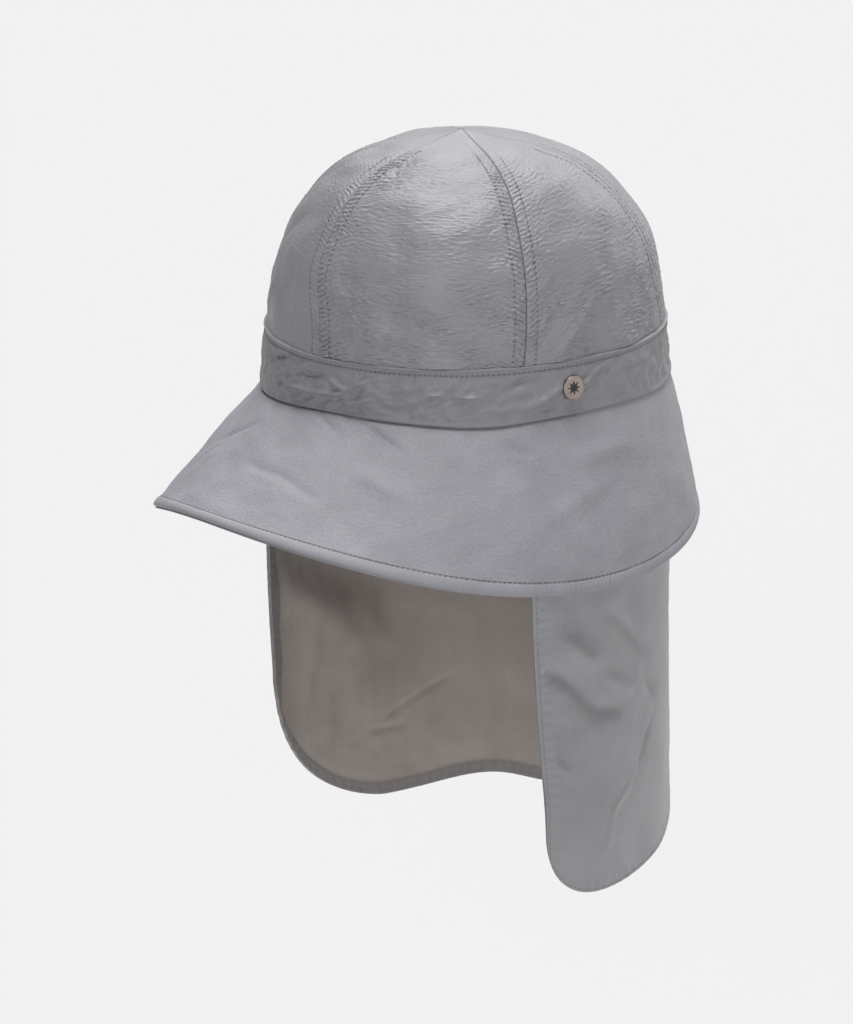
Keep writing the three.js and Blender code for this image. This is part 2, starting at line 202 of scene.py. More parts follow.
def mesh_piece(name, points, faces, fields, materials, inner_from=None, crisp=crisp_fold):
    """A new object from points in millimetres and arrays of faces, one array for each number of corners.
    It is shaded smooth but for edges that turn by more than "crisp" degrees. Each field is a number for
    every point. Faces from inner_from on take the second material."""
    corners = np.concatenate([part.ravel() for part in faces]).astype(np.int32)
    sizes = np.concatenate([np.full(len(part), part.shape[1]) for part in faces])
    mesh = bpy.data.meshes.new(name)
    mesh.vertices.add(len(points))
    mesh.vertices.foreach_set("co", (points * millimetre).astype(np.float32).ravel())
    mesh.loops.add(len(corners))
    mesh.loops.foreach_set("vertex_index", corners)
    mesh.polygons.add(len(sizes))
    mesh.polygons.foreach_set("loop_start", (np.cumsum(sizes) - sizes).astype(np.int32))
    mesh.polygons.foreach_set("use_smooth", np.ones(len(sizes), bool))
    if inner_from is not None:
        is_inner = np.arange(len(sizes)) >= inner_from
        mesh.polygons.foreach_set("material_index", is_inner.astype(np.int32))
    for field, values in fields.items():
        layer = mesh.attributes.new(field, "FLOAT", "POINT")
        layer.data.foreach_set("value", np.asarray(values, np.float32).ravel())
    for material in materials:
        mesh.materials.append(material)
    mesh.update(calc_edges=True)
    mesh.validate()
    mesh.set_sharp_from_angle(angle=math.radians(crisp))
    piece = bpy.data.objects.new(name, mesh)
    bpy.context.scene.collection.objects.link(piece)
    return piece


def wall_piece(name, outside, inside, materials, ring=False, coarse=1, **fields):
    """A closed wall from two grids, rows upwards by columns round the head. Neighbouring corners make
    faces, turned round on the inside, which keeps one row and column in every coarse, and strips of
    many-cornered faces close the free edges. A ring joins its last column to its first. All but the
    outer faces take the second material, where there is one."""
    outer = np.arange(outside[..., 0].size).reshape(outside.shape[:2])
    kept = inside[::coarse, ::coarse]
    inner = outer.size + np.arange(kept[..., 0].size).reshape(kept.shape[:2])
    if ring:
        outer = np.hstack([outer, outer[:, :1]])
        inner = np.hstack([inner, inner[:, :1]])

    def quads(corner):
        round_face = [corner[:-1, :-1], corner[:-1, 1:], corner[1:, 1:], corner[1:, :-1]]
        return np.stack(round_face, -1).reshape(-1, 4)

    def strip(line, under):
        above = [line[coarse - step::coarse][:len(under) - 1] for step in range(coarse + 1)]
        return np.stack([*above, under[:-1], under[1:]], -1)

    edges = [strip(outer[0], inner[0]), strip(outer[-1, ::-1], inner[-1, ::-1])]
    if not ring:
        edges += [strip(outer[::-1, 0], inner[::-1, 0]), strip(outer[:, -1], inner[:, -1])]
    faces = [quads(outer), *edges, quads(inner)[:, ::-1]]
    points = np.concatenate([outside.reshape(-1, 3), kept.reshape(-1, 3)])
    both = {
        field: np.concatenate([values.ravel(), values[::coarse, ::coarse].ravel()])
        for field, values in fields.items()
    }
    inner_from = len(faces[0]) if len(materials) > 1 else None
    return mesh_piece(name, points, faces, both, materials, inner_from)


def linear_colour(code):
    """A colour written as sRGB hex, turned to the linear values that a shader works in."""
    shares = np.array([int(code[i:i + 2], 16) / 255 for i in (1, 3, 5)])
    curve = np.where(shares <= 0.04045, shares / 12.92, ((shares + 0.055) / 1.055) ** 2.4)
    return (*curve.tolist(), 1.0)


def empty_material(name):
    """A new material and its node tree, with nothing in it yet."""
    material = bpy.data.materials.new(name)
    material.use_nodes = True
    material.node_tree.nodes.clear()
    return material, material.node_tree


def add_node(tree, kind, inputs=None, **settings):
    """Adds one shader node with its settings, and links each input to a socket or gives it a plain value."""
    node = tree.nodes.new("ShaderNode" + kind)
    for setting, value in settings.items():
        setattr(node, setting, value)
    for socket, value in (inputs or {}).items():
        if isinstance(value, bpy.types.NodeSocket):
            tree.links.new(value, node.inputs[socket])
        else:
            node.inputs[socket].default_value = value
    return node


# The nylon's own values: patches of tone to the metre, how much of its tone is patch and how much grain,
# where that tone runs from shade to colour, and the needle holes' painted shade, by distance squared in
# square mm
patches_per_metre = 38.0
patch_share = 0.55
grain_share = 0.45
tone_range = (0.35, 0.65)
hole_shade_colour = "#3b3b3f"
hole_shade_range = (0.08, 0.34)
hole_shade_tone = 0.3
nylon_ior = 1.53
# The crepe's own: its crinkles to the millimetre, and how far they are drawn out along the grain. Then
# the tint of the light that thin cloth lets through, and how deep it goes, in metres
crepe_per_mm = 0.8
crepe_stretch = (0.45, 1.0, 1.0)
glow_tint = (1.0, 0.96, 0.92)
glow_depth = 0.0012


def woven_nylon(
    name, colour, shade, grain_mm=0.9, grain_depth=0.00006, roughness=0.62, needle_hole_shade=True, crepe=0.0,
    thin=False, doubled=None, ribs=0.0,
):
    """Dyed nylon taffeta, plain woven: nearly matt, with a broad soft gloss where light falls along it.
    Its real threads lie 0.15 mm apart, too fine to show here, so the grain is drawn about six times as
    coarse. Needle holes can get a dark spot of painted shade. The crepe is a fine crinkle, in metres
    deep, that runs along the cloth's own "grain". Thin cloth lets some light through its single layer.
    The colour of its doubled "hem" is painted shade for the light that the second layer holds back,
    over the tone of the hem's own cloth. Ribs are low puckers across a strip, in metres deep, one for
    every stitch, as far as "pull" says."""
    material, tree = empty_material(name)
    place = add_node(tree, "TexCoord").outputs["Object"]
    patches = add_node(tree, "TexNoise", {"Vector": place, "Scale": patches_per_metre, "Detail": 3.0})
    grains_per_metre = 1 / (grain_mm * millimetre)
    grain = add_node(tree, "TexNoise", {"Vector": place, "Scale": grains_per_metre, "Detail": 2.0})
    blend = add_node(tree, "Math", {0: patches.outputs["Fac"], 1: patch_share}, operation="MULTIPLY")
    speckle = add_node(
        tree, "Math", {0: grain.outputs["Fac"], 1: grain_share, 2: blend.outputs[0]},
        operation="MULTIPLY_ADD",
    )
    tone = add_node(
        tree, "MapRange",
        {"Value": speckle.outputs[0], "From Min": tone_range[0], "From Max": tone_range[1]},
    )
    cloth = add_node(
        tree, "Mix",
        {"Factor": tone.outputs["Result"], "A": linear_colour(shade), "B": linear_colour(colour)},
        data_type="RGBA",
    )
    surface = cloth.outputs["Result"]
    if needle_hole_shade:
        # Painted shade in the needle holes: a dark spot at every stitch end, where "row" is 0 and "along" is
        # a whole pitch
        row = add_node(tree, "Attribute", attribute_name="row").outputs["Fac"]
        along = add_node(tree, "Attribute", attribute_name="along").outputs["Fac"]
        beside = add_node(
            tree, "Math", {0: along, 1: stitch_pitch / 2, 2: -stitch_pitch / 2}, operation="WRAP"
        )
        aside = add_node(tree, "Math", {0: row, 1: row}, operation="MULTIPLY")
        reach = add_node(
            tree, "Math", {0: beside.outputs[0], 1: beside.outputs[0], 2: aside.outputs[0]},
            operation="MULTIPLY_ADD",
        )
        hole_shade_spot = add_node(
            tree, "MapRange",
            {
                "Value": reach.outputs[0], "From Min": hole_shade_range[0], "From Max": hole_shade_range[1],
                "To Min": hole_shade_tone, "To Max": 1.0,
            },
        )
        cloth = add_node(
            tree, "Mix",
            {"Factor": hole_shade_spot.outputs["Result"], "A": linear_colour(hole_shade_colour), "B": surface},
            data_type="RGBA",
        )
        surface = cloth.outputs["Result"]
    # The doubled hem's colour, mixed in by the "hem" share: painted shade for the light that its second
    # layer holds back, over the hem's own tone
    if doubled:
        hem = add_node(tree, "Attribute", attribute_name="hem").outputs["Fac"]
        cloth = add_node(
            tree, "Mix", {"Factor": hem, "A": surface, "B": linear_colour(doubled)}, data_type="RGBA"
        )
        surface = cloth.outputs["Result"]
    bump = add_node(
        tree, "Bump", {"Height": grain.outputs["Fac"], "Distance": grain_depth, "Strength": 1.0}
    )
    if crepe:
        grain_way = add_node(tree, "Attribute", attribute_name="grain").outputs["Fac"]
        over_way = add_node(tree, "Attribute", attribute_name="over_grain").outputs["Fac"]
        on_cloth = add_node(tree, "CombineXYZ", {"X": grain_way, "Y": over_way})
        squeezed = add_node(tree, "Mapping", {"Vector": on_cloth.outputs[0], "Scale": crepe_stretch})
        crinkle = add_node(
            tree, "TexNoise",
            {"Vector": squeezed.outputs[0], "Scale": crepe_per_mm, "Detail": 2.0, "Distortion": 0.6},
        )
        bump = add_node(
            tree, "Bump",
            {"Height": crinkle.outputs["Fac"], "Distance": crepe, "Normal": bump.outputs["Normal"]},
        )
    if ribs:
        pull = add_node(tree, "Attribute", attribute_name="pull").outputs["Fac"]
        along = add_node(tree, "Attribute", attribute_name="along").outputs["Fac"]
        turn = add_node(tree, "Math", {0: along, 1: 2 * math.pi / stitch_pitch}, operation="MULTIPLY")
        wave = add_node(tree, "Math", {0: turn.outputs[0]}, operation="SINE")
        pulled = add_node(tree, "Math", {0: wave.outputs[0], 1: pull}, operation="MULTIPLY")
        bump = add_node(
            tree, "Bump",
            {"Height": pulled.outputs[0], "Distance": ribs, "Normal": bump.outputs["Normal"]},
        )
    shader = add_node(
        tree, "BsdfPrincipled",
        {"Base Color": surface, "Roughness": roughness, "IOR": nylon_ior, "Normal": bump.outputs["Normal"]},
    )
    if thin:
        shader.inputs["Subsurface Weight"].default_value = 1.0
        shader.inputs["Subsurface Radius"].default_value = glow_tint
        shader.inputs["Subsurface Scale"].default_value = glow_depth
    add_node(tree, "OutputMaterial", {"Surface": shader.outputs[0]})
    return material


def crown_surface(angle, height, share):
    """Points on the crown: the head ellipse times the share, leaning forward towards the tip."""
    points = head_ellipse(angle, head_half_width * share, head_half_length * share, height)
    low, high = crown_meridian["height"][0], crown_meridian["height"][-1]
    points[..., 1] -= crown_forward * (height - low) / (high - low)
    return points


def meridian_points(rows):
    """Heights and shares at even steps along the curve from the band to just short of the tip."""
    order = np.arange(len(crown_meridian["height"]))
    table = {"order": order, **crown_meridian}
    fine_steps = 800
    fine = np.linspace(0, order[-1], fine_steps)
    height = along_table(table, "order", "height", fine)
    share = np.maximum(along_table(table, "order", "share", fine), 0)
    run = np.concatenate([[0], np.cumsum(np.hypot(np.diff(height), np.diff(share * head_half_width)))])
    wanted = np.linspace(0, run[-1] - crown_tip_radius, rows)
    return np.interp(wanted, run, height), np.interp(wanted, run, share)


def creases_on(x, y, x_of, y_of, table):
    """Adds up long soft dents and ridges: each is a bell across its line and a wider bell along it."""
    total = np.zeros_like(x)
    shapes = (table["heading"], table["length"], table["width"], table["depth"])
    for middle_x, middle_y, heading, length, width, depth in zip(x_of, y_of, *shapes):
        turn = math.radians(heading)
        along = (x - middle_x) * math.cos(turn) + (y - middle_y) * math.sin(turn)
        aside = (y - middle_y) * math.cos(turn) - (x - middle_x) * math.sin(turn)
        total += depth * np.exp(-((along / length) ** 4) - (aside / width) ** 2)
    return total


def seam_relief(to_seam, up, gather, gathered, seed):
    """Millimetres out beside one seam: slanting sine puckers with the stitches' pitch, whose phase
    wanders, full up to the stitch row and fading beyond it, at the seam and towards the tip, a pressed
    stitch row, and a lip that turns into the seam."""
    hardness, reach, wander, lip_depth = gather
    between_rows = 1 / (1 + np.exp((to_seam - stitch_row) / row_width))
    slant = (up - pucker_slant * to_seam) / pucker_length + wander * ripple(to_seam / 6, up / 7, seed)
    wave = np.sin(2 * np.pi * slant + 0.6 * np.sin(2 * np.pi * slant))
    patchy = 0.9 + (0.3 + 0.5 * wander) * ripple(to_seam / 12, up / 9, seed + 1)
    beyond = pucker_beyond * bell(np.clip(to_seam - stitch_row, 0, None), reach)
    pucker = wave * patchy * (between_rows + (1 - between_rows) * beyond)
    pucker *= 0.35 + 0.65 * np.clip(to_seam / 1.5, 0, 1)
    pressed = -row_depth * bell(to_seam - stitch_row, row_width)
    lip = -lip_depth * bell(to_seam, seam_lip)
    raised = (0.1 + 0.2 * np.minimum(hardness, 1)) * between_rows
    return pucker_depth * hardness * pucker * gathered + raised + pressed + lip


def panel_relief(across, width, up, along_grain, over_grain, depth, sway_depth, seed):
    """Millimetres out between the seams: soft sway, and two sizes of ripple along the grain that grow
    towards the band."""
    slack = 1 + lower_fullness * np.clip(1 - up / up[-1:], 0, 1) ** slack_power
    patch = 0.8 + 0.5 * ripple(across / 17, up / 17, seed + 1)
    crinkle = ripple(along_grain, over_grain / crinkle_size[0], seed + 2)
    crinkle += 0.6 * ripple(along_grain * 1.8, over_grain / crinkle_size[1], seed + 3)
    broad, small = sway_size
    sway = ripple(across / broad, up / broad, seed + 6) + 0.25 * ripple(across / small, up / small, seed + 7)
    sway *= sway_depth
    inner = np.clip(np.minimum(across, width - across) / sway_margin, 0, 1)
    return depth * patch * crinkle * slack + sway * inner


crown_nylon = woven_nylon(
    "crinkled nylon taffeta", "#8f8f92", "#85848b", grain_depth=0.00004, roughness=0.46, crepe=0.0003
)
crown_lines = []
for number, row in enumerate(zip(*crown_panels.values(), *crown_seams.values())):
    piece_name, start, end, lean, length, crinkle_share, sway_depth, seed = row[:8]
    start_bow, end_bow, first_gather, last_gather = row[8:]
    height, share = (line[:, None] for line in meridian_points(panel_rows))
    start = start + along_table(crown_bow, "height", start_bow, height)
    end = end + along_table(crown_bow, "height", end_bow, height)
    spread = crowded(panel_columns, column_crowding)
    # Half the seam's gap as an angle: near the tip it narrows with the panel
    margin = seam_gap / 2 / np.maximum(np.radians(1) * share * head_half_length, 0.01)
    margin = np.minimum(margin, (end - start) * 0.4)
    angle = start + margin + (end - start - 2 * margin) * spread
    base = crown_surface(angle, height + 0 * angle, share + 0 * angle)
    across = steps_along(base, 1)
    width = across[:, -1:]
    up = steps_along(base, 0)[:, panel_columns // 2:panel_columns // 2 + 1] + 0 * across
    fade = np.clip((width - tip_narrow) / (tip_wide - tip_narrow), 0, 1)
    tilt = math.radians(lean)
    along_grain = across * math.cos(tilt) + up * math.sin(tilt)
    over_grain = up * math.cos(tilt) - across * math.sin(tilt)
    over_grain += grain_wander * ripple(across / 11, up / 11, seed)
    gathered = np.clip((width - gather_narrow) / (gather_wide - gather_narrow), 0, 1)
    depth = crinkle_depth * crinkle_share * (0.3 + 0.7 * gathered)
    relief = panel_relief(across, width, up, along_grain / length, over_grain, depth, sway_depth, seed)
    relief += seam_relief(across, up, first_gather, gathered, seed + 4)
    relief += seam_relief(width - across, up, last_gather, gathered, seed + 8)
    own = [place for place, panel_number in enumerate(crown_folds["panel"]) if panel_number == number]
    folds = {field: [values[place] for place in own] for field, values in crown_folds.items()}
    relief += creases_on(across, up, folds["across"], folds["up"], folds)
    normal = facing(base)
    outside = base + normal * (relief * fade)[..., None]
    # The rows stop short of the tip, where this puts the needle holes out of reach
    to_row = np.abs(np.minimum(across, width - across) - stitch_row) + 4 * (width < tip_wide)
    name = "crown_" + piece_name
    panel = wall_piece(
        name + "_cloth", outside, outside - normal * crown_wall, [crown_nylon], coarse=3,
        row=to_row, along=up, grain=along_grain + grain_shift * seed, over_grain=over_grain,
    )
    crown_lines.append((outside, normal, across, width))
    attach(panel, "root")
    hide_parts(name)

# Crown top-stitching: two rows of matching polyester thread beside each seam, which hold its
# allowances down. Each stitch bows up out of its needle holes and sinks back into the cloth.
thread_radius = 0.13
thread_twist = 0.4
stitch_length = 1.9
rod_sides = 5


def spun_thread(name, colour):
    """Spun polyester sewing thread, dyed to match: matt and a little fuzzy, so it has no clear gloss.
    Its tone changes along it with the twist of its plies."""
    material, tree = empty_material(name)
    place = add_node(tree, "TexCoord").outputs["Object"]
    twists_per_metre = 1 / (thread_twist * millimetre)
    twist = add_node(tree, "TexNoise", {"Vector": place, "Scale": twists_per_metre, "Detail": 1.0})
    dark = tuple(0.7 * share for share in linear_colour(colour)[:3]) + (1.0,)
    tone = add_node(
        tree, "Mix", {"Factor": twist.outputs["Fac"], "A": dark, "B": linear_colour(colour)},
        data_type="RGBA",
    )
    shader = add_node(
        tree, "BsdfPrincipled",
        {"Base Color": tone.outputs["Result"], "Roughness": 0.7, "IOR": 1.5, "Sheen Weight": 0.2},
    )
    add_node(tree, "OutputMaterial", {"Surface": shader.outputs[0]})
    return material


def ring_walls(corner):
    """Four-cornered faces between rows of corner numbers, where each row is a ring closed on itself."""
    following = np.roll(corner, -1, axis=1)
    return np.stack([corner[:-1], following[:-1], following[1:], corner[1:]], -1).reshape(-1, 4)


def stitch_piece(name, rows, thread):
    """One mesh of all the stitches in some rows. Each is a rod with five sides and four stations along
    its way. The two in the middle are the full thread, 0.75 of its radius up, and the two at its ends
    are slimmer and 1.2 of its radius down in the cloth."""
    middles, ways, outs = (np.concatenate(parts) for parts in zip(*rows))
    stations = np.array([-0.5, -0.28, 0.28, 0.5])
    radii = thread_radius * np.array([0.4, 1, 1, 0.4])
    rises = thread_radius * np.array([-1.2, 0.75, 0.75, -1.2])
    turns = np.radians(360 / rod_sides * np.arange(rod_sides))
    sides = np.cross(ways, outs)
    centre = middles[:, None] + ways[:, None] * (stations * stitch_length)[:, None]
    centre += outs[:, None] * rises[:, None]
    around = outs[:, None, None] * np.cos(turns)[:, None] + sides[:, None, None] * np.sin(turns)[:, None]
    points = centre[:, :, None] + around * radii[:, None, None]
    corner = np.arange(len(stations) * rod_sides).reshape(len(stations), rod_sides)
    first = corner.size * np.arange(len(middles))[:, None, None]
    parts = (ring_walls(corner), corner[:1, ::-1], corner[-1:])
    faces = [(first + part).reshape(-1, part.shape[-1]) for part in parts]
    return mesh_piece(name, points.reshape(-1, 3), faces, {}, [thread], crisp=180)


def stitches_on(line, normals):
    """Middles, ways and outs of the stitches along a line of points, one every stitch pitch."""
    run = np.concatenate([[0], np.cumsum(np.linalg.norm(np.diff(line, axis=0), axis=-1))])
    at = np.arange(stitch_pitch / 2, run[-1] - stitch_pitch / 2, stitch_pitch)

    def read(values, where):
        return np.stack([np.interp(where, run, values[:, k]) for k in range(3)], axis=-1)

    ways = unit(read(line, at + 0.5) - read(line, at - 0.5))
    outs = read(normals, at)
    outs -= ways * (outs * ways).sum(-1, keepdims=True)
    return read(line, at), ways, unit(outs)


crown_thread = spun_thread("grey polyester thread", "#807f85")
rows_of_stitches = []
for outside, normal, across, width in crown_lines:
    usable = np.arange(2, int((width[:, 0] > tip_wide).sum()))
    for place in (stitch_row + 0 * width[:, 0], width[:, 0] - stitch_row):
        before = np.clip((across < place[:, None]).sum(axis=1) - 1, 0, panel_columns - 2)[usable]
        reached, following = across[usable, before], across[usable, before + 1]
        share = ((place[usable] - reached) / (following - reached))[:, None]
        line = outside[usable, before] * (1 - share) + outside[usable, before + 1] * share
        rows_of_stitches.append(stitches_on(line, normal[usable, before]))
crown_stitching = stitch_piece("crown_stitching", rows_of_stitches, crown_thread)
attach(crown_stitching, "root")

# Band: a strip of the same nylon, folded double and sewn between crown and brim. Its top edge is
# pressed into a thin lip with one row of stitches, and its lower edge overhangs the brim.
band_height = 25.4
band_wall = 1.8
band_top_share = 0.975
band_fullness = 0.5
band_stitch_drop = 2.7
# The lower edge isn't quite level: how far it lies above the head opening, round the head
band_hem = {
    "angle": (-90, -60, -40, -23, -11, 2, 26, 52, 64, 86, 115, 140, 270),
    "height": (-2.5, -4, -3.7, -1.7, 0, 1.5, 0.7, -0.9, 0.4, 1.2, -0.6, 0, -2.5),
}
band_creases = {
    "angle": (-18.4, -9.1, 3.0, 6.4, 13.1, 13.2, -20.5, -2.9, 35.4, 44.8, 66.4, 81.1, 86.9, 60.2, 132),
    "place": (12.7, 8.8, 9, 14.1, 15.2, 7.4, 20.2, 15.9, 14.1, 13.6, 9.8, 16.3, 20.8, 18.2, 12),
    "heading": (22, -3, 5, -19, 32, 21, 17, 4, 2, -1, 21, 34, 19, 6, 0),
    "length": (9, 10, 9, 5.5, 6, 7.5, 12, 8, 4, 5.5, 9, 5, 6, 8, 20),
    "width": (1.0, 1.0, 1.1, 0.9, 1.0, 1.1, 2.3, 1.8, 0.9, 0.9, 2.0, 1.0, 1.2, 2.0, 12),
    "depth": (1.7, 1.8, 1.7, 1.6, 1.8, 1.3, -2.1, -1.8, 1.1, 1.3, 2.1, 1.7, 1.5, -1.4, -1.0),
}
band_crease_seed = 71
band_columns = 720
band_rows = 55
band_row_crowding = 0.7


def hem_height(angle):
    """The height of the band's lower edge at an angle, read from its table."""
    return along_table(band_hem, "angle", "height", (angle + 90) % 360 - 90)


def band_surface(angle, height):
    """Points on the band's face: the head ellipse, drawn in evenly towards the top, plus a sine swell.
    Heights from 0 to the band's height are spread between its uneven lower edge and its level top."""
    rise = height / band_height
    share = 1 + (band_top_share - 1) * rise
    level = height + hem_height(angle) * (1 - rise)
    points = head_ellipse(angle, head_half_width * share, head_half_length * share, level)
    return points + outward(angle) * (band_fullness * np.sin(np.pi * rise))[..., None]


def band_relief(along, height):
    """Millimetres out of the band: pressed lip and stitch row, rounded edges, and slanting creases that
    ease towards both sewn edges."""
    seed = band_crease_seed
    from_top = band_height - height
    pressed = -0.35 * bell(from_top - band_stitch_drop, 0.7)
    lip = 0.7 * bell(from_top - 0.45, 0.3) - 0.62 * bell(from_top, 0.22)
    hem = 0.35 * bell(height - 0.9, 0.9) - 0.35 * bell(height, 0.4)
    ease = np.clip(height / 4, 0, 1) * np.clip((from_top - 3) / 3, 0, 1)
    slant = height - 0.55 * along
    bend = 1.3 * ripple(along / 21, height / 12, seed)
    creases = ripple((along + 0.9 * height) / 9, slant / 5 + bend, seed + 1)
    fine = ripple(along / 3.2, height / 1.7, seed + 2)
    tucks = np.sin(2 * np.pi * (along / 2.9 + 0.5 * ripple(along / 9, height / 9, seed + 3)))
    near_row = bell(from_top - 4.2, 1.8)
    x_of = np.radians(np.array(band_creases["angle"]) + 180) * band_radius
    folds = creases_on(along, height, x_of, band_creases["place"], band_creases)
    return pressed + lip + hem + ease * (0.8 * creases + 0.2 * fine + folds) + 0.12 * tucks * near_row


band_radius = (head_half_width + head_half_length) / 2
band_angle = np.linspace(180, 540, band_columns, endpoint=False)[None] + np.zeros((band_rows, 1))
band_level = band_height * crowded(band_rows, band_row_crowding)[:, None] + 0 * band_angle
band_base = band_surface(band_angle, band_level)
band_along = np.radians(band_angle - 180) * band_radius
band_out = outward(band_angle)
band_face = band_base + band_out * band_relief(band_along, band_level)[..., None]
band_nylon = woven_nylon("folded nylon taffeta", "#87868a", "#7c7b80", roughness=0.52, crepe=0.00022)
band = wall_piece(
    "band_cloth", band_face, band_base - band_out * band_wall, [band_nylon], ring=True, coarse=3,
    row=np.abs(band_height - band_level - band_stitch_drop), along=band_along,
    grain=band_along, over_grain=band_level,
)
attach(band, "root")
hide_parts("band")

stitch_level = int(np.abs(band_level[:, 0] - (band_height - band_stitch_drop)).argmin())
closed_line = np.vstack([band_face[stitch_level], band_face[stitch_level, :1]])
closed_out = np.vstack([band_out[stitch_level], band_out[stitch_level, :1]])
band_stitching = stitch_piece("band_stitching", [stitches_on(closed_line, closed_out)], crown_thread)
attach(band_stitching, "root")

# Brim: a wide soft brim of doubled nylon, cut in one round with a shaped seam to the band. It droops
# straight from the band at the front and hangs more steeply at the sides and the back.
brim_wall = 2.0
brim_inset = 0.8
brim_half_width = 117.2
brim_half_length = 133.5
brim_forward = 25.9
brim_edge_height = -61.05
brim_droop = {"turns": (1, 2, 3), "height": (8.48, 10.25, 1.92)}
brim_fullness = 2.2
brim_middle_out = 30
brim_cloth_run = 75
brim_tip = {"angle": -28, "up": 2.8, "reach": 26}
brim_columns = 600
brim_rows = 61
binding_width = 6.4
binding_overlap = 0.4
# Soft creases: where each lies, how it runs, its length and width, and its depth
brim_creases = {
    "angle": (20.4, -1.6, 10.6, -25.5, -30.9, 29.9, 7.5, 59.6, 69.1, 86.2, 77.0),
    "place": (0.92, 0.48, 0.42, 0.69, 0.52, 0.55, 0.9, 0.84, 0.61, 0.76, 0.5),
    "heading": (-21, -6, -15, 31, 40, -17, -20, -19, -45, 1, 21),
    "length": (22, 16, 13, 15, 13, 16, 13, 12, 12, 20, 20),
    "width": (1.8, 2.5, 2.4, 2.2, 2.6, 4, 2.0, 2.2, 4.5, 4, 5),
    "depth": (-1.7, -0.75, -0.8, -1.1, 0.6, 1.1, -1.0, -1.1, -1.3, 1.1, 1.1),
}


def bell_round(angle, place):
    """A bell over degrees round the head, with its middle at the place's angle and the place's reach."""
    return bell((angle - place["angle"] + 180) % 360 - 180, place["reach"])


def brim_edge(angle):
    """The bound edge: an ellipse set forward, whose height follows a short sum of cosines. A bell lifts
    it at the wearer's front right."""
    waves = sum(level * np.cos(np.radians(angle * turns)) for turns, level in zip(*brim_droop.values()))
    level = brim_edge_height + waves + brim_tip["up"] * bell_round(angle, brim_tip)
    points = head_ellipse(angle, brim_half_width, brim_half_length, level)
    points[..., 1] -= brim_forward
    return points


def brim_root(angle):
    """The brim's inner line, tucked under the band's lower edge."""
    root = head_ellipse(angle, head_half_width, head_half_length, hem_height(angle) - seam_gap)
    return root - outward(angle) * brim_inset


def brim_surface(angle, rise):
    """The brim's face: a straight run from edge to root, with a sine swell that is fullest at the sides."""
    edge, root = brim_edge(angle), brim_root(angle)
    away = unit(edge - root)
    out = outward(angle)
    lift = out * -away[..., 2:] + np.array([0, 0, 1]) * (out * away).sum(-1, keepdims=True)
    swell = brim_fullness * np.sin(np.radians(angle)) ** 2 * np.sin(np.pi * rise)
    return edge + (root - edge) * rise[..., None] + lift * swell[..., None]


brim_angle = np.linspace(180, 540, brim_columns, endpoint=False)[None] + np.zeros((brim_rows, 1))
brim_length = np.linalg.norm(brim_edge(brim_angle) - brim_root(brim_angle), axis=-1)
brim_start = (binding_width - binding_overlap) / brim_length
brim_rise = brim_start + (1 - brim_start) * np.linspace(0, 1, brim_rows)[:, None]
brim_base = brim_surface(brim_angle, brim_rise)
brim_out = facing(brim_base, ring=True)
mean_radius = band_radius + brim_middle_out
brim_x = np.radians(brim_angle - 360) * mean_radius
brim_y = brim_rise * brim_cloth_run
crease_x = np.radians(np.array(brim_creases["angle"])) * mean_radius
crease_y = np.array(brim_creases["place"]) * brim_cloth_run
brim_relief = 0.5 * ripple(brim_x / 30, brim_y / 26, 81) + 0.3 * ripple(brim_x / 12, brim_y / 10, 82)
brim_relief += 0.07 * ripple(brim_x / 2.6, brim_y / 2.4, 83)
brim_relief += creases_on(brim_x, brim_y, crease_x, crease_y, brim_creases)
brim_relief *= np.clip((1 - brim_rise) / 0.08, 0, 1) * np.clip((brim_rise - brim_start) / 0.06, 0, 1)
brim_face = brim_base + brim_out * brim_relief[..., None]
brim_under = brim_face - brim_out * brim_wall
brim_under[-1] = brim_face[-1] - outward(brim_angle[-1]) * brim_wall
brim_nylon = woven_nylon(
    "doubled nylon taffeta", "#96959c", "#88878e", grain_mm=1.1, grain_depth=0.00022, needle_hole_shade=False,
    crepe=0.0002,
)
brim = wall_piece(
    "brim_cloth", brim_face, brim_under, [brim_nylon], ring=True, coarse=3,
    grain=brim_x, over_grain=brim_y,
)
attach(brim, "root")
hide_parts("brim")

# Binding: a bias strip of the same nylon, folded over the brim's raw edge and sewn through with one
# row of stitches. It rolls over a soft core, and it puckers where the edge turns under at the sides.
binding_thickness = 3.4
binding_stitch = 0.7
binding_end_power = 0.75
binding_side_power = 0.7
binding_slim = {"angle": -10, "share": 0.25, "reach": 22}
binding_columns = 900
binding_turns = np.sort(np.append(
    2 * np.pi * np.arange(22) / 22, (3.1, 3.12, 3.155, 3.17, 3.19, 3.22, 3.27, 3.35, 3.5, 3.6, 3.8)
))


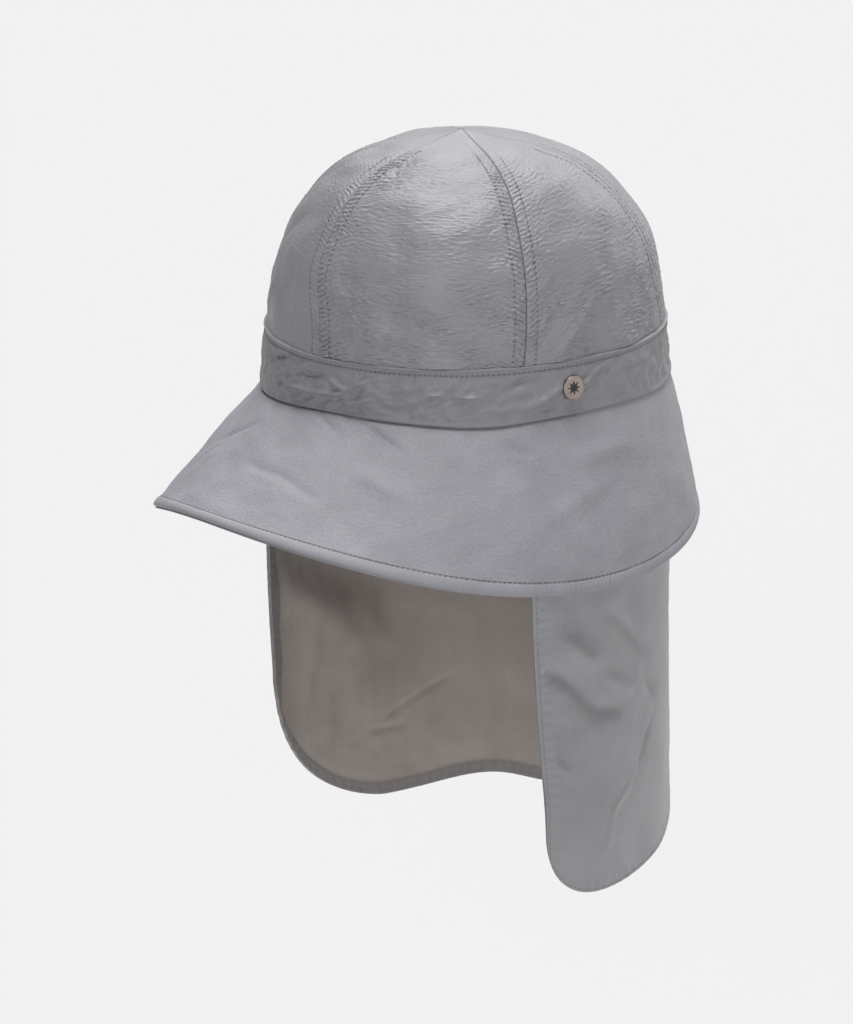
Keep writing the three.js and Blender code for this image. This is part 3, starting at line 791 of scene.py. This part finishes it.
def binding_points(angle, turn):
    """A rounded section carried along the edge: cosine powers make it fat outside and flat at the seam,
    a bell notches it just under the edge, where the strip's fold lies, and one makes it slim in front."""
    edge = brim_edge(angle)
    inwards = unit(brim_surface(angle, 0.05 + 0 * angle) - brim_surface(angle, 0 * angle))
    tangent = unit(brim_edge(angle + 0.2) - brim_edge(angle - 0.2))
    out = np.cross(tangent, inwards)
    across = np.sign(np.cos(turn)) * np.abs(np.cos(turn)) ** binding_end_power
    aside = np.sign(np.sin(turn)) * np.abs(np.sin(turn)) ** binding_side_power
    pinch = 1 - 0.3 * np.clip(across, 0, 1) ** 3
    centre = edge - out * brim_wall / 2
    run = np.radians(angle) * mean_radius
    tucks = 0.5 + 0.5 * np.sin(2 * np.pi * (run / stitch_pitch + 0.3 * ripple(run / 7, turn, 91)))
    gather = 0.7 + 1.0 * np.clip(np.abs(np.sin(np.radians(angle))) * 2 - 1, 0, 1)
    depth = 0.36 * gather * tucks * (0.35 + 0.65 * np.clip(across + 0.4, 0, 1))
    soft = 0.12 * ripple(run / 16, turn / 2, 92)
    sewn = 0.3 * bell(across - binding_stitch, 0.16)
    thick = (binding_thickness / 2 - depth - sewn + soft) * pinch
    fold = np.where(across < 0, 0.9 * bell(aside + 0.12, 0.15) - 0.6 * bell(aside + 0.5, 0.2), 0)
    slim = binding_slim["share"] * bell_round(angle, binding_slim)
    reach = binding_width * (slim + (1 - slim) * (1 + across) / 2)
    reach = reach + 0.16 * tucks * np.clip(across, 0, 1) + fold
    points = centre + inwards * reach[..., None] + out * (thick * aside)[..., None]
    to_row = np.abs(across - binding_stitch) * binding_width / 2
    return points, out, to_row, run


binding_angle = np.linspace(180, 540, binding_columns, endpoint=False)[:, None] + 0 * binding_turns
binding_turn = binding_turns[None] + 0 * binding_angle
binding_grid, _, binding_row, binding_run = binding_points(binding_angle, binding_turn)
corner = np.arange(binding_angle.size).reshape(binding_angle.shape)
binding_quads = ring_walls(np.vstack([corner, corner[:1]]))
binding_nylon = woven_nylon(
    "bias nylon binding", "#94939a", "#8b8a91", grain_mm=1.0, grain_depth=0.0001, ribs=0.00011
)
binding_pull = 0.06 + 0.94 * np.clip(np.abs(np.sin(np.radians(binding_angle))) * 4 - 3, 0, 1)
binding_pull *= 0.7 + 0.6 * ripple(binding_run / 9, 0 * binding_run, 93)
binding_fields = {"row": binding_row, "along": binding_run, "pull": binding_pull}
binding = mesh_piece(
    "binding_cloth", binding_grid.reshape(-1, 3), [binding_quads], binding_fields, [binding_nylon]
)
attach(binding, "root")
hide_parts("brim_binding")

# The turn at which the section lies across by the stitch row's share, from the cosine power above
stitch_turn = math.acos(binding_stitch ** (1 / binding_end_power))
stitch_angle = np.linspace(180, 540, binding_columns + 1)
both_rows = []
for side in (1, -1):
    line, out, _, _ = binding_points(stitch_angle, side * stitch_turn + 0 * stitch_angle)
    both_rows.append(stitches_on(line, side * out))
binding_stitching = stitch_piece("binding_stitching", both_rows, crown_thread)
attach(binding_stitching, "root")

# Neck flap: one layer of thin nylon, sewn into the band's seam and hanging free round the back and
# sides of the neck. A narrow hem is turned to the inside along its edges and rounded corners.
flap_wall = 0.9
hem_wall = 0.7
hem_width = 6.5
hem_stitch = 1.8
hem_stitches_below = 20
flap_top = 8.0
flap_hang = {
    "height": (-240, -130, -60, -30, -10, 0, 8),
    "inset": (-2.8, -1.1, 0.3, 1.6, 3, 3.3, 2.8),
}
flap_edge_start = -60
flap_cut = {
    "left": {"edge": 62.6, "at_corner": 66.4, "bow": 2.0, "span": 22.7, "height": 45.7, "power": 3.2},
    "right": {"edge": 54.3, "at_corner": 62.9, "bow": 1.5, "span": 48.9, "height": 86.1, "power": 1.63},
}
flap_bottom = {
    "angle": (66, 90, 131, 170, 203, 215, 248, 298),
    "height": (-226.9, -227.1, -223, -222.5, -232.5, -230.7, -237.1, -237.1),
}
flap_folds = {
    "angle": (78, 108, 132, 152, 184, 213, 236, 262),
    "out": (1.2, -2, -2.6, 3, -2.5, 2.5, -2.5, 1.5),
    "reach": (16, 18, 15, 20, 18, 14, 16, 18),
}
# Its soft creases and broad folds: where each lies round the head and below the band, how it runs, its
# length and width, and its depth
flap_creases = {
    "angle": (
        244.2, 233.6, 248.2, 233.1, 241.1, 214.2, 280, 264.2, 278.9, 249.2, 254.9, 77.1, 71.0, 79.0,
        87.9, 91.8, 97, 104.2, 95.1, 88.0, 93.7, 71.2, 108.0, 266, 262,
    ),
    "place": (
        -193, -183.5, -202.8, -198.8, -215.3, -204.3, -125, -188, -160, -138.5, -168, -111, -120, -132.3,
        -142, -131.3, -110, -168.8, -183.5, -198.5, -219.3, -164, -138, -148, -186,
    ),
    "heading": (
        -30, -27, -1, -51, -86, -80, 32, 88, 89, -86, -69, -42, -27, -54,
        -12, -34, -48, 54, 38, 75, -53, -44, -51, 15, 10,
    ),
    "length": (
        10, 8.5, 10.5, 7, 10, 20, 30, 15, 26, 13, 13, 11, 10, 10,
        9, 11, 19, 16, 15, 12, 9.5, 5, 11, 27, 26,
    ),
    "width": (
        1.7, 1.7, 1.9, 2, 3, 5, 11, 6, 6, 6, 6, 4.4, 4.5, 4.5,
        4.2, 3, 3.4, 1.8, 2.0, 2.0, 1.8, 1.6, 4, 20, 26,
    ),
    "depth": (
        1.3, 1.3, 1.0, 0.7, 1.0, 1.3, -5.0, 1.8, -1.7, 2.0, 1.0, 2.4, -3.4, -3.4,
        -2.8, 2.0, -2.4, -1.1, 1.2, 1.0, 1.0, 0.9, -2.3, -7.0, -4.0,
    ),
}
# Where the cloth hangs calm, how far round that reaches, and how much of its ripple goes there
flap_calm = {"angle": 122, "reach": 18, "share": 0.7}
flap_columns = 270
flap_rows = 160
flap_column_crowding = 0.6
flap_row_power = 1.6
flap_even_share = 0.45
# How far round the shift of a front edge fades out, in degrees
edge_fade = 60
# How far below the band the folds begin and how far down they reach their full depth, and the same for
# the creases, which start just below the brim's seam
fold_start = 40
fold_run = 190
crease_start = 12
crease_run = 40
neck_radius = 94
tuck_pitch = 5


def flap_edge(cut, bottom, height):
    """How far round the front edge lies at a height: it leans back down to the corner, and the bow is
    the power of that lean, so above 1 it leans most near the corner."""
    corner_top = bottom + cut["height"]
    lean = np.clip((height - flap_edge_start) / (corner_top - flap_edge_start), 0, 1)
    return cut["edge"] + (cut["at_corner"] - cut["edge"]) * lean ** cut["bow"]


def flap_hem(angle):
    """The hem's height at an angle: a level table, lifted at each front corner by a superellipse."""
    level = along_table(flap_bottom, "angle", "height", angle)
    for cut, from_edge in (
        (flap_cut["left"], angle - flap_cut["left"]["at_corner"]),
        (flap_cut["right"], 360 - angle - flap_cut["right"]["at_corner"]),
    ):
        across = np.clip(1 - from_edge / cut["span"], 0, 1)
        level = level + cut["height"] * (1 - (1 - across ** cut["power"]) ** (1 / cut["power"]))
    return level


flap_from = flap_cut["left"]["at_corner"]
flap_to = 360 - flap_cut["right"]["at_corner"]
flap_middle = (flap_from + flap_to) / 2
straight = flap_from + (flap_to - flap_from) * crowded(flap_columns, flap_column_crowding)[None]
straight = straight + np.zeros((flap_rows, 1))
hem_level = flap_hem(straight)
up_share = np.linspace(0, 1, flap_rows)[:, None]
up_share = flap_even_share * up_share + (1 - flap_even_share) * up_share**flap_row_power
flap_height = hem_level + (flap_top - hem_level) * up_share
is_left = straight < flap_middle
left_edge = flap_edge(flap_cut["left"], flap_bottom["height"][0], flap_height)
right_edge = flap_edge(flap_cut["right"], flap_bottom["height"][-1], flap_height)
edge_shift = np.where(is_left, left_edge - flap_from, 360 - flap_to - right_edge)
edge_distance = np.where(is_left, straight - flap_from, flap_to - straight)
flap_angle = straight + edge_shift * np.clip(1 - edge_distance / edge_fade, 0, 1)
flap_out = outward(flap_angle)
reach = np.clip((-flap_height - fold_start) / fold_run, 0, 1)
reach = reach * reach * (3 - 2 * reach)
folds = sum(out * bell(flap_angle - middle, wide) for middle, out, wide in zip(*flap_folds.values()))
inset = along_table(flap_hang, "height", "inset", flap_height)
flap_plain = head_ellipse(flap_angle, head_half_width, head_half_length, flap_height)
flap_plain = flap_plain + flap_out * (folds * reach - inset)[..., None]
girth = np.radians(1) * neck_radius
flap_x = flap_angle * girth
crease_x = np.array(flap_creases["angle"]) * girth
crease_y = np.array(flap_creases["place"])
side_distance = edge_distance * girth * np.where(is_left, 1, 0.7)
hem_distance = np.minimum(side_distance, (flap_height - hem_level) * 1.1)
hem_mask = 1 / (1 + np.exp((hem_distance - hem_width) / 0.35))
free = np.clip((-flap_height - crease_start) / crease_run, 0, 1)
flap_relief = creases_on(flap_x, flap_height, crease_x, crease_y, flap_creases)
calm = 1 - flap_calm["share"] * bell(flap_angle - flap_calm["angle"], flap_calm["reach"])
rippled = 0.6 * ripple(flap_x / 22, flap_height / 34, 101)
rippled += 0.4 * ripple(flap_x / 9, flap_height / 11, 102)
flap_relief += calm * rippled
flap_relief *= np.clip(hem_distance / 12, 0, 1)
flap_relief += 0.08 * ripple(flap_x / 2.8, flap_height / 3.4, 103)
at_side = side_distance < flap_height - hem_level
edge_run = np.where(at_side, flap_height, flap_x)
tucks = np.sin(2 * np.pi * (edge_run / tuck_pitch + 0.4 * ripple(edge_run / 12, hem_distance / 8, 104)))
tuck_depth = np.where(at_side, 0.2, 0.32)
flap_relief += tuck_depth * tucks * bell(hem_distance - 3.5, 3)
flap_relief -= 0.15 * bell(hem_distance - hem_stitch, 0.8)
flap_face = flap_plain + flap_out * (flap_relief * free)[..., None]
flap_inside = flap_face - flap_out * (flap_wall + hem_wall * hem_mask * free)[..., None]
# How much of the hem's colour each point takes: painted shade where the cloth is doubled, which rises and
# falls with the tucks along the bottom edge as painted shade of the gathers
hem_tone_and_shade = hem_mask * np.where(at_side, 1, 0.85 + 0.15 * tucks)
# The doubled colours are the hem's painted shade: a little darker outside, and darker still inside, over the
# less warm tone of the outer face turned in
flap_nylon = woven_nylon(
    "thin nylon taffeta", "#a0a0a3", "#959598", roughness=0.6, needle_hole_shade=False, thin=True, doubled="#9c9ca0"
)
flap_inner = woven_nylon(
    "thin nylon taffeta inside", "#9f9893", "#958d88", roughness=0.7, needle_hole_shade=False, thin=True,
    doubled="#7e7a7b",
)
flap = wall_piece("neck_flap_cloth", flap_face, flap_inside, [flap_nylon, flap_inner], hem=hem_tone_and_shade)
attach(flap, "root")
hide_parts("neck_flap")

# The hem's stitches run down one front edge from a little below the band, along the bottom, and up the
# other one
half_columns = flap_columns // 2
to_stitch = np.abs(side_distance[0] - hem_stitch)
left_column = int(to_stitch[:half_columns].argmin())
right_column = flap_columns - 1 - int(to_stitch[::-1][:half_columns].argmin())
bottom_row = int(np.abs((flap_height - hem_level)[:, half_columns] - hem_stitch).argmin())
top_row = int(np.abs(flap_height[:, 0] + hem_stitches_below).argmin())
hem_path = [(row, left_column) for row in range(top_row, bottom_row, -1)]
hem_path += [(bottom_row, column) for column in range(left_column, right_column)]
hem_path += [(row, right_column) for row in range(bottom_row, top_row)]
hem_rows, hem_columns = np.array(hem_path).T
outer_row = stitches_on(flap_face[hem_rows, hem_columns], flap_out[hem_rows, hem_columns])
inner_row = stitches_on(flap_inside[hem_rows, hem_columns], -flap_out[hem_rows, hem_columns])
flap_stitching = stitch_piece("flap_stitching", [outer_row, inner_row], crown_thread)
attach(flap_stitching, "root")

# Badge: a cast zinc disc, nickel plated and polished, with a raised rim round a sunken face. Black
# enamel fills a plain eight-pointed star on it. It is pinned through the band on the wearer's left.
badge_angle = 74.6
badge_height = 13.0
badge_profile = {
    "radius": (0, 5.2, 5.42, 5.5, 5.5, 5.45, 5.35, 5.22, 5.12, 5.08, 4.95, 0),
    "level": (0, 0, 0.08, 0.25, 1.4, 1.58, 1.68, 1.7, 1.66, 1.46, 1.45, 1.45),
}
badge_sides = 96
badge_crisp_fold = 50
star_rays = 8
star_radius = 3.4
star_valley = 1.5
star_bottom = 1.45
star_top = 1.7
star_bevel = 0.08
star_top_share = 0.95
# Both finishes waver softly, about once in a millimetre, and this deep in metres. The plate's roughness
# runs between two values.
polish_per_metre = 900.0
peel_per_metre = 700.0
finish_depth = 0.00002
plate_roughness = (0.22, 0.36)


def badge_place(points):
    """Turns points from the badge's own axes, where Z looks out of the face, to its place on the band."""
    here = band_surface(np.array([badge_angle]), np.array([badge_height]))[0]
    above = band_surface(np.array([badge_angle]), np.array([badge_height + 0.1]))[0] - here
    beside = band_surface(np.array([badge_angle + 0.1]), np.array([badge_height]))[0] - here
    out = unit(np.cross(beside, above))
    up = unit(above)
    right = np.cross(up, out)
    return here + out * seam_gap + points @ np.stack([right, up, out])


def plated_metal(name, colour):
    """Polished nickel plate over cast zinc: a warm pale mirror with a faint brushed softness."""
    material, tree = empty_material(name)
    place = add_node(tree, "TexCoord").outputs["Object"]
    polish = add_node(tree, "TexNoise", {"Vector": place, "Scale": polish_per_metre, "Detail": 4.0})
    low, high = plate_roughness
    gloss = add_node(tree, "MapRange", {"Value": polish.outputs["Fac"], "To Min": low, "To Max": high})
    bump = add_node(tree, "Bump", {"Height": polish.outputs["Fac"], "Distance": finish_depth})
    shader = add_node(
        tree, "BsdfPrincipled",
        {
            "Base Color": linear_colour(colour), "Metallic": 1.0, "Roughness": gloss.outputs["Result"],
            "Normal": bump.outputs["Normal"],
        },
    )
    add_node(tree, "OutputMaterial", {"Surface": shader.outputs[0]})
    return material


def black_enamel(name, colour):
    """Fired enamel poured into the cast recess: glassy, with a slight orange-peel surface."""
    material, tree = empty_material(name)
    place = add_node(tree, "TexCoord").outputs["Object"]
    peel = add_node(tree, "TexNoise", {"Vector": place, "Scale": peel_per_metre, "Detail": 1.0})
    bump = add_node(tree, "Bump", {"Height": peel.outputs["Fac"], "Distance": finish_depth})
    shader = add_node(
        tree, "BsdfPrincipled",
        {
            "Base Color": linear_colour(colour), "Roughness": 0.25, "IOR": 1.55,
            "Normal": bump.outputs["Normal"],
        },
    )
    add_node(tree, "OutputMaterial", {"Surface": shader.outputs[0]})
    return material


turn = 2 * np.pi * np.arange(badge_sides)[None] / badge_sides
radius = np.array(badge_profile["radius"][1:-1])[:, None]
level = np.array(badge_profile["level"][1:-1])[:, None]
rings = np.stack([radius * np.cos(turn), radius * np.sin(turn), level + 0 * turn], -1)
middles = np.array([[0, 0, badge_profile["level"][0]], [0, 0, badge_profile["level"][-1]]])
badge_points = badge_place(np.vstack([rings.reshape(-1, 3), middles]))
corner = np.arange(rings.shape[0] * badge_sides).reshape(rings.shape[:2])
following = np.roll(corner, -1, axis=1)
low_middle = np.full(badge_sides, len(badge_points) - 2)
high_middle = low_middle + 1
badge_faces = [
    ring_walls(corner),
    np.stack([following[0], corner[0], low_middle], -1),
    np.stack([corner[-1], following[-1], high_middle], -1),
]
nickel = plated_metal("polished nickel plate", "#a39790")
badge = mesh_piece("badge_disc", badge_points, badge_faces, {}, [nickel], crisp=badge_crisp_fold)
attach(badge, "root")
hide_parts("badge")

turn = np.pi * np.arange(2 * star_rays) / star_rays
reach = np.where(np.arange(2 * star_rays) % 2 == 0, star_radius, star_valley)
star_ring = np.stack([reach * np.sin(turn), reach * np.cos(turn)], -1)[::-1]
levels = ((1.0, star_bottom), (1.0, star_top - star_bevel), (star_top_share, star_top))
star_layers = [
    np.column_stack([star_ring * size, np.full(len(star_ring), level)]) for size, level in levels
]
corner = np.arange(len(levels) * len(star_ring)).reshape(len(levels), len(star_ring))
star_faces = [corner[:1, ::-1], corner[-1:], ring_walls(corner)]
enamel = black_enamel("black fired enamel", "#171516")
star_points = badge_place(np.vstack(star_layers))
star = mesh_piece("badge_enamel_star", star_points, star_faces, {}, [enamel], crisp=0)
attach(star, "root")
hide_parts("badge_star")

# Studio: a plain pale floor well below the hat, and six broad soft lights with hardly any fill. The
# floor's matt paint takes their soft shadows and gives back no gloss.
floor_level = -0.62
floor_size = 40.0
fill_brightness = 0.005
floor_mesh = bpy.data.meshes.new("studio_floor")
half = floor_size / 2
floor_corners = ((-half, -half), (half, -half), (half, half), (-half, half))
floor_mesh.from_pydata([(x, y, floor_level) for x, y in floor_corners], [], [(0, 1, 2, 3)])
floor_paint = bpy.data.materials.new("pale matt floor paint")
floor_paint.use_nodes = True
floor_shader = floor_paint.node_tree.nodes["Principled BSDF"]
floor_shader.inputs["Base Color"].default_value = linear_colour("#c7c7c7")
floor_shader.inputs["Roughness"].default_value = 1.0
floor_shader.inputs["Specular IOR Level"].default_value = 0.0
floor_mesh.materials.append(floor_paint)
floor = bpy.data.objects.new("studio_floor", floor_mesh)
bpy.context.scene.collection.objects.link(floor)

world = bpy.data.worlds.new("studio_fill")
world.use_nodes = True
world.node_tree.nodes["Background"].inputs["Color"].default_value = (1, 1, 1, 1)
world.node_tree.nodes["Background"].inputs["Strength"].default_value = fill_brightness
bpy.context.scene.world = world

# Six soft boxes, as brightness on a surface square to each: one overhead, two from behind that skim the
# crown's top, one low at the back that shines through the flap, and two low in front and at the side
soft_boxes = {
    "name": (
        "overhead_softbox", "high_rear_softbox", "rear_softbox", "back_softbox", "front_softbox",
        "side_softbox",
    ),
    "azimuth": (60, 222, 222, 180, 30, 90),
    "elevation": (85, 60, 35, 20, 12, 12),
    "brightness": (0.76, 0.54, 0.24, 0.24, 0.31, 0.14),
    "width": (30, 40, 50, 40, 40, 40),
}
for name, azimuth, elevation, brightness, width in zip(*soft_boxes.values()):
    lamp = bpy.data.lights.new(name, "SUN")
    lamp.energy = math.pi * brightness
    lamp.angle = math.radians(width)
    holder = bpy.data.objects.new(name, lamp)
    holder.rotation_euler = (math.radians(90 - elevation), 0, math.radians(azimuth))
    bpy.context.scene.collection.objects.link(holder)

# Camera: the photograph's own view, through a long lens from the wearer's front left and a little
# above. The lens is given in pixels of that picture, with the pixel where the frame's origin falls.
camera_azimuth = math.radians(42.46)
camera_elevation = math.radians(15.5)
camera_distance = 2.4
focal_pixels = 5232
picture_width, picture_height = 853, 1024
origin_pixel = (466.2, 369.75)
camera_data = bpy.data.cameras.new("photo_camera")
camera_data.sensor_width = 36.0
camera_data.lens = focal_pixels / picture_height * camera_data.sensor_width
camera_data.shift_x = -(origin_pixel[0] - picture_width / 2) / picture_height
camera_data.shift_y = (origin_pixel[1] - picture_height / 2) / picture_height
camera = bpy.data.objects.new("photo_camera", camera_data)
camera.location = (
    camera_distance * math.sin(camera_azimuth) * math.cos(camera_elevation),
    -camera_distance * math.cos(camera_azimuth) * math.cos(camera_elevation),
    camera_distance * math.sin(camera_elevation),
)
camera.rotation_euler = (math.radians(90) - camera_elevation, 0, camera_azimuth)
bpy.context.scene.collection.objects.link(camera)
bpy.context.scene.camera = camera
bpy.context.scene.view_settings.view_transform = "Standard"
